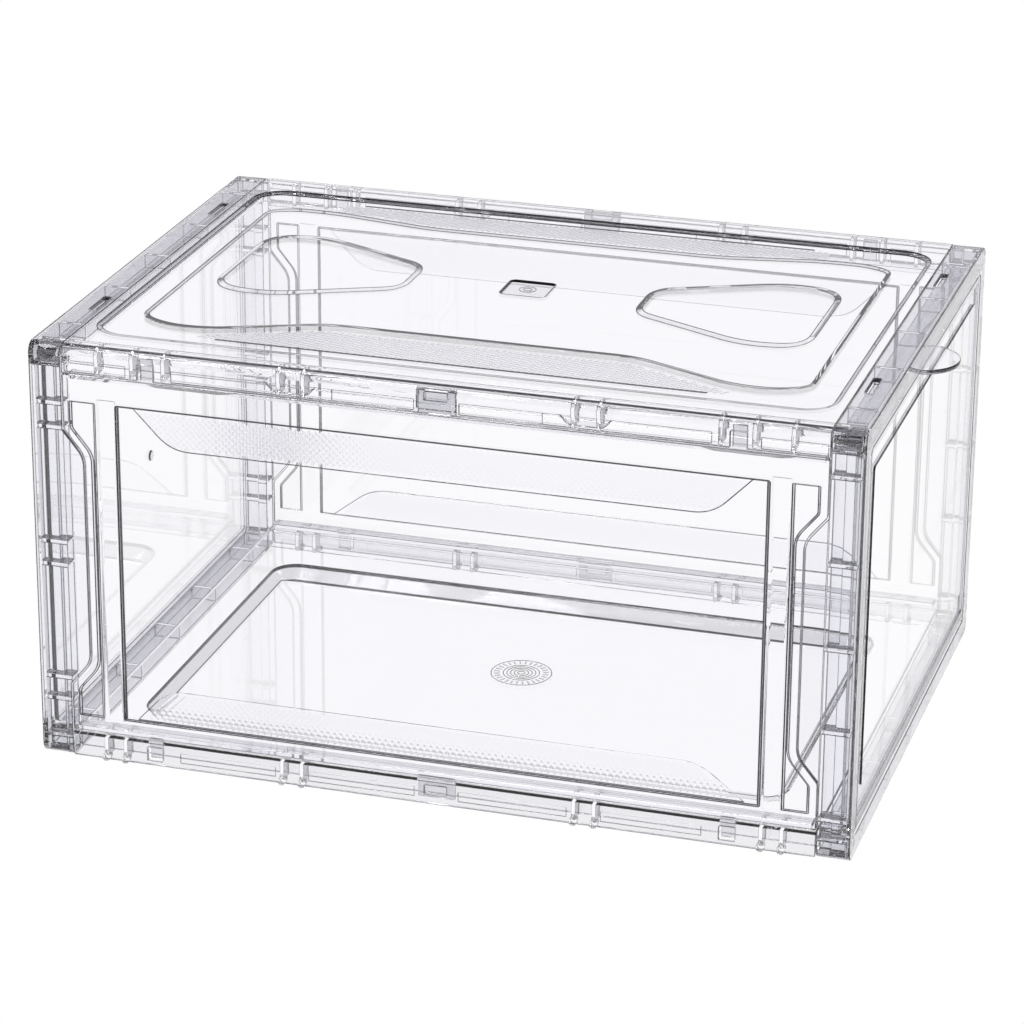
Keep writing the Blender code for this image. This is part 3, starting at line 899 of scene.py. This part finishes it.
# ---------------------------------------------------------------- lid and tray

def rib_boxes(places, low, high):
    """Ribs across the channel behind a skirt, at both ends and on both sides, painted mid-grey
    shade.
    """
    corners = []
    for x in places:
        for end in (-1, 1):
            for side in (-1, 1):
                ys = sorted((side * (HALF - 1.0), side * (HALF - INNER_SKIRT - 1.0)))
                corners.append(((end * x - RIB / 2, ys[0], low), (end * x + RIB / 2, ys[1], high)))
    return boxes(corners, PAINTED_MID_SHADE)


# The lid's raised field: half-lengths, and how far it reaches to the front and to the back
FIELD_END, FIELD_SHOULDER, FIELD_WAIST = 143.5, 112.0, 66.0
FRONT_END, FRONT_WAIST = 88.5, 68.5
BACK_END, BACK_WAIST = 82.0, 73.5
FIELD_ROUND = 9.0


def bow_tie():
    """The raised field of the lid, wide at both ends and drawn in at its waist."""
    front = [
        (FIELD_END, -FRONT_END + 8.0),
        (FIELD_END - 14.0, -FRONT_END),
        (FIELD_SHOULDER, -FRONT_END),
        (FIELD_WAIST, -FRONT_WAIST),
    ]
    back = [
        (FIELD_WAIST, BACK_WAIST),
        (FIELD_SHOULDER, BACK_END),
        (FIELD_END - 12.0, BACK_END),
        (FIELD_END, BACK_END - 6.0),
    ]
    left = [(-x, y) for x, y in reversed(front)] + [(-x, y) for x, y in reversed(back)]
    return rounded((front + left + back)[::-1], FIELD_ROUND)[::-1]


def teardrop():
    """The drop at the -X end of the lid, its blunt end outwards."""
    half = [(-53.0, 13.5), (-104.0, 37.5), (-128.0, 34.0)]
    corners = [(u, -v) for u, v in half] + half[::-1]
    outline = rounded(corners, (7.0, 14.0, 22.0, 22.0, 14.0, 7.0))
    return [(u, v + LID_SHIFT) for u, v in outline]


def lid_section():
    """The lid across its length: a filleted skirt with an inner wall behind it, on both sides."""
    under = HEIGHT - TOP_THICK
    inner = HALF - INNER_SKIRT
    side = arc((HALF - TOP_FILLET, HEIGHT - TOP_FILLET), TOP_FILLET, 90, 0)
    side += [(HALF, SKIRT_LOW), (HALF - WALL, SKIRT_LOW)]
    side += arc((HALF - TOP_FILLET, under - TOP_FILLET + WALL), TOP_FILLET - WALL, 0, 90)
    foot = SKIRT_LOW + 1.6
    side += [(inner, under), (inner, foot), (inner - INNER_WALL, foot), (inner - INNER_WALL, under)]
    return side + [(-y, z) for y, z in reversed(side)]


# The thin pads inside the lid's skirt: start, stop and thickness of the strips, and the
# thickness of the ears round the rib pairs and of the catch plate
SKIRT_STRIPS = ((9.5, 44.0, 0.6), (44.0, 113.0, 0.35), (133.0, PANEL_HALF - 1.0, 0.35))
EAR_THICK = 0.9
PLATE_THICK = 1.1
EAR_FOOT = 174.6


def behind_wall(row, thickness):
    """The span of a pad on the inner face of a skirt, on the side that row names."""
    return sorted((row * (HALF - WALL + 0.3), row * (HALF - WALL - thickness)))


def skirt_details():
    """Thin pads inside the skirt: a stepped strip, an ear round each rib pair, catch plates; the
    ears and plates have faces painted grey shade.
    """
    details = []
    for row in (-1, 1):
        strips = []
        for end in (-1, 1):
            for start, stop, thickness in SKIRT_STRIPS:
                xs = sorted((end * start, end * stop))
                ys = behind_wall(row, thickness)
                strips.append(((xs[0], ys[0], SKIRT_LOW + 0.6), (xs[1], ys[1], CATCH_TOP)))
        details.append(boxes(strips))
        for end in (-1, 1):
            ear = [(51.0, CATCH_TOP), (54.5, EAR_FOOT), (69.0, EAR_FOOT), (72.5, CATCH_TOP)]
            ear = rounded([(end * x, z) for x, z in ear[::end]], (0.3, 1.6, 1.6, 0.3))
            details.append(prism(ear, "Y", *behind_wall(row, EAR_THICK), caps=(PAINTED_GREY_SHADE, PAINTED_GREY_SHADE)))
        plate = rounded_rectangle((-8.3, 174.4), (8.3, 183.2), 1.2)
        details.append(prism(plate, "Y", *behind_wall(row, PLATE_THICK), caps=(PAINTED_GREY_SHADE, PAINTED_GREY_SHADE)))
    return merged(details)


# Walls on the lid are drawn wider across the lid than along it
LID_SPREAD = (1.0, 2.0)


def lid_field():
    """The cutter of the sunk field, less the raised field that stands in it; their sloped edges are
    painted dark lines round bands of painted grey shade.
    """
    island = bow_tie()
    stages = [
        (-2.2, -FIELD_DEPTH - 0.4),
        (-2.2, -FIELD_DEPTH),
        (-1.6, -FIELD_DEPTH * 0.8),
        (-0.6, -FIELD_DEPTH * 0.3),
        (0.0, 0.0),
        (0.0, OVERRUN),
    ]
    levels = [(inset(island, inward, LID_SPREAD), HEIGHT + up) for inward, up in stages]
    field = rounded_rectangle(FIELD_LOW, FIELD_HIGH, FIELD_CORNER)
    return combined(
        recess(field, HEIGHT, FIELD_DEPTH, FIELD_WALL, "Z", LID_SPREAD, FIELD_LINE),
        [(CUT, loft(levels, "Z", [PAINTED_BLACK_LINE, PAINTED_BLACK_LINE, PAINTED_GREY_SHADE, PAINTED_BLACK_LINE, PAINTED_BLACK_LINE]))],
    )


def lid_recesses():
    """The cuts in the lid's top: the field, a drop at each end and the badge; the drops' edges are
    painted dark lines and the badge's floor painted grey shade.
    """
    cuts = [lid_field()]
    for outline in (teardrop(), [(-u, 2 * LID_SHIFT - v) for u, v in teardrop()]):
        cuts.append(recess(
            outline, HEIGHT, DROP_DEPTH, DROP_WALL, "Z", LID_SPREAD, DROP_LINE, wall=CLEAR,
        ))
    low = (-BADGE_HALF, LID_SHIFT - BADGE_HALF)
    high = (BADGE_HALF, LID_SHIFT + BADGE_HALF)
    badge = rounded_rectangle(low, high, BADGE_ROUND)
    cuts.append(recess(
        badge, HEIGHT, BADGE_DEPTH, BADGE_WALL, "Z", LID_SPREAD, BADGE_LINE, floor=PAINTED_GREY_SHADE,
    ))
    return [(CUT, cut) for cut in cuts]


def catch_windows(catch, clip):
    """The windows in the skirts, which the tongues of the long panels snap into."""
    windows = []
    for y in (-HALF, HALF):
        for x, (half, depth, low, high) in ((0.0, catch), (-CLIP_X, clip), (CLIP_X, clip)):
            windows.append(((x - half, y - depth, low), (x + half, y + depth, high)))
    return boxes(windows)


def on_band(u, v):
    """Whether a point lies on the sunk bands in front of and behind the raised field."""
    along = (abs(u) - FIELD_WAIST) / (FIELD_SHOULDER - FIELD_WAIST)
    along = min(max(along, 0.0), 1.0)
    if v < 0:
        edge = FRONT_WAIST + along * (FRONT_END - FRONT_WAIST)
    else:
        edge = BACK_WAIST + along * (BACK_END - BACK_WAIST)
    return edge + 4.5 < abs(v) < 95.0 and abs(u) < FIELD_SHOULDER


def lid_paint(centre, normal):
    """A painted dark line where the top turns down into the skirts."""
    at_turn = abs(centre.y) > HALF - TOP_FILLET - 0.2 and centre.z > HEIGHT - 0.4
    return PAINTED_DARK_LINE if at_turn and 0.9 < normal.z < SQUARE else None


def lid():
    """The lid, with its skirts, ribs, windows and raised pattern."""
    # The lid's end caps are painted black lines
    plate = prism(lid_section()[::-1], "X", -PANEL_HALF, PANEL_HALF, caps=(PAINTED_BLACK_LINE, PAINTED_BLACK_LINE))
    rib_top = HEIGHT - TOP_THICK + 1.0
    steps = [
        (JOIN, rib_boxes(SKIRT_RIBS, SKIRT_LOW + 0.5, rib_top)),
        (JOIN, skirt_details()),
        (CUT, catch_windows(LID_CATCH, LID_CLIP)),
    ]
    level = HEIGHT - FIELD_DEPTH + 0.02
    # Painted black strips along the sunk bands
    strips = [
        ((-BAND_HALF, y - 0.6, level), (BAND_HALF, y + 0.6, level + 0.15))
        for y in (-BAND_Y, BAND_Y)
    ]
    keep = [
        knurl(on_band, (-113.0, -96.0), (113.0, -68.0), "Z", level, 1),
        knurl(on_band, (-113.0, 73.0), (113.0, 96.0), "Z", level, 1),
        boxes(strips, PAINTED_BLACK_LINE),
    ]
    keep += ripples((0.0, LID_SHIFT), HEIGHT - BADGE_DEPTH, (1.8, 3.6), 0.35)
    mesh = combined(
        plate, steps, bevel=SKIN_EASE, late=lid_recesses(), keep=keep, paint=lid_paint,
    )
    return piece("lid_moulding", mesh, "case", "top_panel")


def ripples(centre, level, radii, width):
    """Concentric raised rings round a moulding gate, painted as dark lines."""
    made = []
    around, section = 56, 6
    for radius in radii:
        form = bmesh.new()
        rings = []
        for step in range(around):
            turn = 2 * math.pi * step / around
            points = []
            for side in range(section):
                lean = 2 * math.pi * side / section
                reach = radius + width / 2 * math.cos(lean)
                height = level + 0.02 + width * 0.3 * (1 + math.sin(lean))
                x = centre[0] + reach * math.cos(turn)
                y = centre[1] + reach * math.sin(turn)
                points.append(form.verts.new((x * MM, y * MM, height * MM)))
            rings.append(points)
        for step in range(around):
            near, far = rings[step], rings[(step + 1) % around]
            for side in range(section):
                after = (side + 1) % section
                face = form.faces.new((near[side], near[after], far[after], far[side]))
                face.material_index = PAINTED_DARK_LINE
        bmesh.ops.recalc_face_normals(form, faces=form.faces)
        mesh = bpy.data.meshes.new("ripple")
        form.to_mesh(mesh)
        form.free()
        made.append(mesh)
    return made


def ticks(level, inner, outer, count, width):
    """Short radial strokes between two radii, painted mid-grey shade."""
    form = bmesh.new()
    for step in range(count):
        turn = Matrix.Rotation(2 * math.pi * (step + 0.5) / count, 4, "Z")
        place = Matrix.Translation(((inner + outer) / 2 * MM, 0, (level + 0.12) * MM))
        size = Matrix.Diagonal(((outer - inner) * MM, width * MM, 0.2 * MM, 1.0))
        bmesh.ops.create_cube(form, size=1.0, matrix=turn @ place @ size)
    for face in form.faces:
        face.material_index = PAINTED_MID_SHADE
    mesh = bpy.data.meshes.new("ticks")
    form.to_mesh(mesh)
    form.free()
    return mesh


# The catches of the tray and half the width of the room that each tongue has
TRAY_CATCHES = ((-CLIP_X, 3.4), (0.0, 8.4), (CLIP_X, 3.4))
MARK_RINGS = (1.6, 3.2, 4.8, 6.4, 8.0, 13.4)
TRAY_STRIPS = ((9.5, 56.0), (70.5, 113.0))


def tray_section():
    """The tray across its length: a skirt with an inner wall behind it, on both sides."""
    inner = HALF - INNER_SKIRT
    under = BEAM_TOP - WALL
    side = [
        (HALF, BEAM_LOW),
        (HALF - WALL, BEAM_LOW),
        (HALF - WALL, under),
        (inner, under),
        (inner, BEAM_LOW + 1.0),
        (inner - INNER_WALL, BEAM_LOW + 1.0),
        (inner - INNER_WALL, under),
    ]
    far = [(-y, z) for y, z in reversed(side)]
    return [(HALF, BEAM_TOP)] + side + far + [(-HALF, BEAM_TOP)]


def pan():
    """The block that the sunk floor is cut from, and the cutter of its hollow; the block's sides
    are painted grey shade and the hollow's wall is painted dark lines round a band of painted grey
    shade.
    """
    rim = rounded_rectangle(PAN_LOW, PAN_HIGH, PAN_CORNER)
    slope = (PAN_SLOPE_X, PAN_SLOPE_Y)
    block = [
        (inset(rim, 0.6, slope), FLOOR_TOP - WALL),
        (inset(rim, -1.4), BEAM_TOP - 0.1),
    ]
    hollow = [
        (inset(rim, 1.0, slope), FLOOR_TOP),
        (inset(rim, 0.93, slope), FLOOR_TOP + 0.3),
        (inset(rim, 0.08, slope), BEAM_TOP - 0.3),
        (rim, BEAM_TOP),
        (rim, BEAM_TOP + OVERRUN),
    ]
    return loft(block, "Z", [PAINTED_GREY_SHADE]), loft(hollow, "Z", [PAINTED_BLACK_LINE, PAINTED_GREY_SHADE, PAINTED_BLACK_LINE, PAINTED_BLACK_LINE])


def beam_strips():
    """The thin pads inside the beam, their faces across Y painted grey shade."""
    strips = []
    for row in (-1, 1):
        ys = behind_wall(row, 0.5)
        for end in (-1, 1):
            for start, stop in TRAY_STRIPS:
                xs = sorted((end * start, end * stop))
                strips.append(((xs[0], ys[0], 3.2), (xs[1], ys[1], 7.6)))
    return boxes(strips, (CLEAR, PAINTED_GREY_SHADE, CLEAR))


def tongue_slots():
    """The slots in the beam's top that let the tongues down to the windows."""
    slots = []
    for row in (-1, 1):
        for x, reach in TRAY_CATCHES:
            ys = sorted((row * (HALF - WALL - 0.4), row * (HALF - WALL - 2.7)))
            low = (x - reach, ys[0], BEAM_TOP - WALL - 1.0)
            slots.append((low, (x + reach, ys[1], BEAM_TOP + 1.0)))
    return boxes(slots)


def feet():
    """The round feet below the beam's ribs, their sides painted grey shade."""
    made = []
    for x in BEAM_RIBS:
        for end in (-1, 1):
            for row in (-1, 1):
                outline = arc((end * x, FOOT_RADIUS), FOOT_RADIUS, 180, 360, 10)
                outline += [(end * x + FOOT_RADIUS, FOOT_TOP), (end * x - FOOT_RADIUS, FOOT_TOP)]
                ys = sorted((row * (HALF - 0.1), row * (HALF - 5.0)))
                made.append(prism(outline, "Y", *ys, side=PAINTED_GREY_SHADE))
    return merged(made)


def tray_paint(centre, normal):
    """Painted grey shade behind the skirts, and a pale painted grey rim above them."""
    behind_skirt = abs(abs(centre.y) - HALF + WALL) < 0.1 and abs(normal.y) > 0.9
    outer_rim = abs(centre.y) > HALF - 0.3 and BEAM_TOP - 0.3 < centre.z < BEAM_TOP
    return PAINTED_GREY_SHADE if behind_skirt or outer_rim else None


def tray():
    """The tray, with its border beam, sunk floor, catch windows and feet."""
    # The tray's end caps are painted black lines
    plate = prism(tray_section()[::-1], "X", -PANEL_HALF, PANEL_HALF, caps=(PAINTED_BLACK_LINE, PAINTED_BLACK_LINE))
    block, hollow = pan()
    steps = [
        (JOIN, rib_boxes(BEAM_RIBS, BEAM_LOW + 0.4, BEAM_TOP - WALL + 1.0)),
        (JOIN, block),
        (JOIN, beam_strips()),
        (CUT, catch_windows(TRAY_CATCH, TRAY_CLIP)),
        (CUT, tongue_slots()),
        (JOIN, feet()),
    ]
    marks = ripples((0.0, 0.0), FLOOR_TOP, MARK_RINGS, 0.4)
    marks.append(ticks(FLOOR_TOP, 9.6, 12.2, 28, 0.7))
    mesh = combined(
        plate, steps, bevel=SKIN_EASE, late=[(CUT, hollow)], keep=marks, paint=tray_paint,
    )
    return piece("tray_moulding", mesh, "case", "bottom_panel")


# ---------------------------------------------------------------- stage

# The camera: which way it looks, how far down, its roll, its lens and its place from the case
CAMERA_ANGLES = (-16.63, 21.66, 0.45)
CAMERA_LENS = 139.86
CAMERA_PLACE = (0.4548, -1.5396, 0.7217)
# Heights in the sky and how bright it is there
SKY_BANDS = (
    (0.0, 0.35), (0.12, 0.35), (0.22, 0.95), (0.5, 0.9), (0.62, 0.12), (0.82, 0.12), (0.95, 0.9),
)
# Place, size and power of each lamp
LAMPS = (((-0.7, -0.6, 1.5), 0.7, 14.0), ((0.8, 0.5, 1.6), 0.6, 10.0))
LAMP_AIM = (0, 0, 0.1)
SKY_TINT = (1.0, 0.985, 1.03)
FLOOR_SIZE = 40
FLOOR_DROP = 0.0005
BOUNCES = 32


def camera():
    turn, down, roll = (math.radians(angle) for angle in CAMERA_ANGLES)
    flat = math.cos(down)
    ahead = Vector((math.sin(turn) * flat, math.cos(turn) * flat, -math.sin(down)))
    level = ahead.cross(Vector((0, 0, 1))).normalized()
    upright = level.cross(ahead)
    right = math.cos(roll) * level + math.sin(roll) * upright
    above = -math.sin(roll) * level + math.cos(roll) * upright
    data = bpy.data.cameras.new("camera")
    data.sensor_width = 36.0
    data.lens = CAMERA_LENS
    data.clip_end = 50.0
    made = bpy.data.objects.new("camera", data)
    bpy.context.scene.collection.objects.link(made)
    place = Matrix((right, above, -ahead)).transposed().to_4x4()
    place.translation = MIDDLE + Vector(CAMERA_PLACE)
    made.matrix_world = place
    bpy.context.scene.camera = made


def floor():
    """A plain white ground that glows evenly, so that the case stands on white."""
    bpy.ops.mesh.primitive_plane_add(size=FLOOR_SIZE, location=(0, 0, -FLOOR_DROP))
    ground = bpy.context.object
    ground.name = "floor"
    look = bpy.data.materials.new("pale_floor")
    look.use_nodes = True
    tree = look.node_tree
    glow = tree.nodes.new("ShaderNodeEmission")
    glow.inputs["Color"].default_value = (1.0, 1.0, 1.0, 1.0)
    glow.inputs["Strength"].default_value = 1.0
    tree.links.new(glow.outputs["Emission"], tree.nodes["Material Output"].inputs["Surface"])
    ground.data.materials.append(look)


def surroundings():
    """A studio with a bright band above the horizon and darker zones that edges pick up."""
    world = bpy.data.worlds.new("studio")
    bpy.context.scene.world = world
    world.use_nodes = True
    tree = world.node_tree
    place = tree.nodes.new("ShaderNodeTexCoord")
    split = tree.nodes.new("ShaderNodeSeparateXYZ")
    ramp = tree.nodes.new("ShaderNodeValToRGB")
    tree.links.new(place.outputs["Generated"], split.inputs[0])
    tree.links.new(split.outputs["Z"], ramp.inputs[0])
    tree.links.new(ramp.outputs[0], tree.nodes["Background"].inputs["Color"])
    stops = ramp.color_ramp
    while len(stops.elements) < len(SKY_BANDS):
        stops.elements.new(0.5)
    for element, (height, level) in zip(stops.elements, SKY_BANDS):
        element.position = height
        element.color = (*(level * part for part in SKY_TINT), 1.0)


def studio_light():
    for place, size, power in LAMPS:
        bpy.ops.object.light_add(type="AREA", location=place)
        lamp = bpy.context.object
        lamp.data.size = size
        lamp.data.energy = power
        aim = Vector(LAMP_AIM) - lamp.location
        lamp.rotation_euler = aim.to_track_quat("-Z", "Y").to_euler()


def light_paths():
    """Enough bounces for the many clear walls that lie one behind another."""
    scene = bpy.context.scene
    scene.view_settings.view_transform = "Standard"
    scene.cycles.max_bounces = BOUNCES
    scene.cycles.transmission_bounces = BOUNCES
    scene.cycles.glossy_bounces = BOUNCES // 2
    scene.cycles.transparent_max_bounces = BOUNCES * 2
    scene.cycles.caustics_reflective = False
    scene.cycles.caustics_refractive = False


camera()
floor()
surroundings()
studio_light()
light_paths()

MATERIALS = FRAME_LOOKS
rear_frame()
door_frame()
MATERIALS = PANEL_LOOKS
rear_panel()
door()
long_panel("front_panel_moulding", "front_panel", 0.0)
long_panel("back_panel_moulding", "back_panel", math.pi)
lid()
tray()
